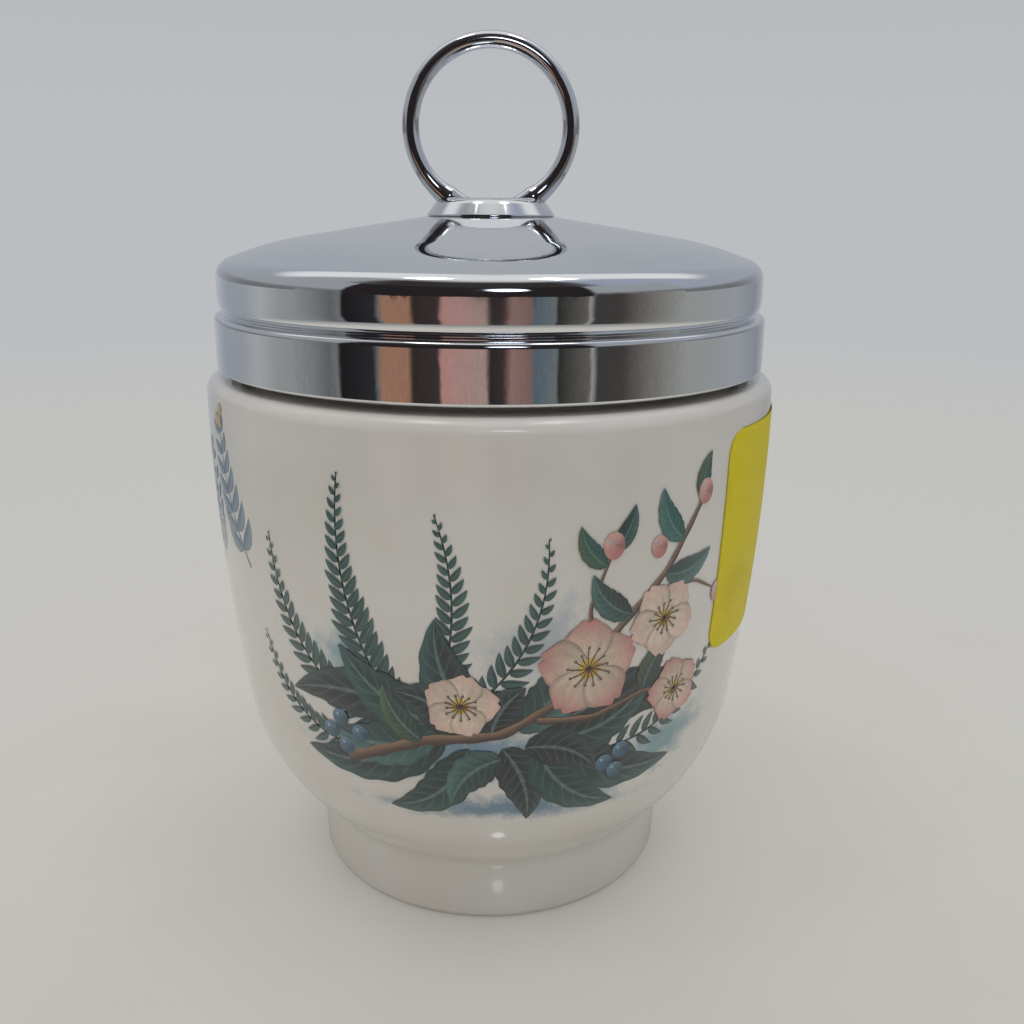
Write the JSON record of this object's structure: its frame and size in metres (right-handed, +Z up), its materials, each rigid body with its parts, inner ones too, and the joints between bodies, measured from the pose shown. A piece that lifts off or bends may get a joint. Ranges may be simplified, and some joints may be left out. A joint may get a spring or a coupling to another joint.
{
  "type": "egg coddler",
  "caption": "Small porcelain cup on a foot ring, closed by a chromed screw lid with an upright lifting ring.",
  "frame": {"origin": "centre of the foot ring's underside, on the face that it rests on", "axes": "+Z up along the axis of the cup and lid; -Y is the front, which the flat of the lifting ring faces; +X is to the right of someone facing the front"},
  "size_m": [0.0551, 0.055, 0.0823],
  "materials": {
    "porcelain": "glossy white glaze with a printed plant design",
    "chrome_sheet": "bright chrome plate on pressed steel",
    "liner_metal": "satin, lightly dulled",
    "seal_rubber": "matt, pale grey",
    "chrome_wire": "bright chrome plate",
    "label_paper": "semi-gloss yellow label paper, bare"
  },
  "bodies": {
    "cup": {"cup": "porcelain", "price_sticker": "label_paper"},
    "seal": {"seal_ring": "seal_rubber"},
    "lid": {"lid_shell": "chrome_sheet", "thread_liner": "liner_metal", "lifting_ring": "chrome_wire", "ring_foot": "chrome_wire", "rivet_washer": "liner_metal"}
  },
  "joints": [
    {"name": "lid_rise", "type": "slide", "parent": "cup", "child": "seal", "axis": [0, 0, 1], "range_m": [0, 0.0101]},
    {"name": "lid_turn", "type": "hinge", "parent": "seal", "child": "lid", "pos_m": [0, 0, 0.057], "axis": [0, 0, 1], "range_deg": [0, 900]}
  ],
  "couplings": [
    {"joint": "lid_rise", "follows": "lid_turn", "m_per_rad": 0.00063662}
  ]
}
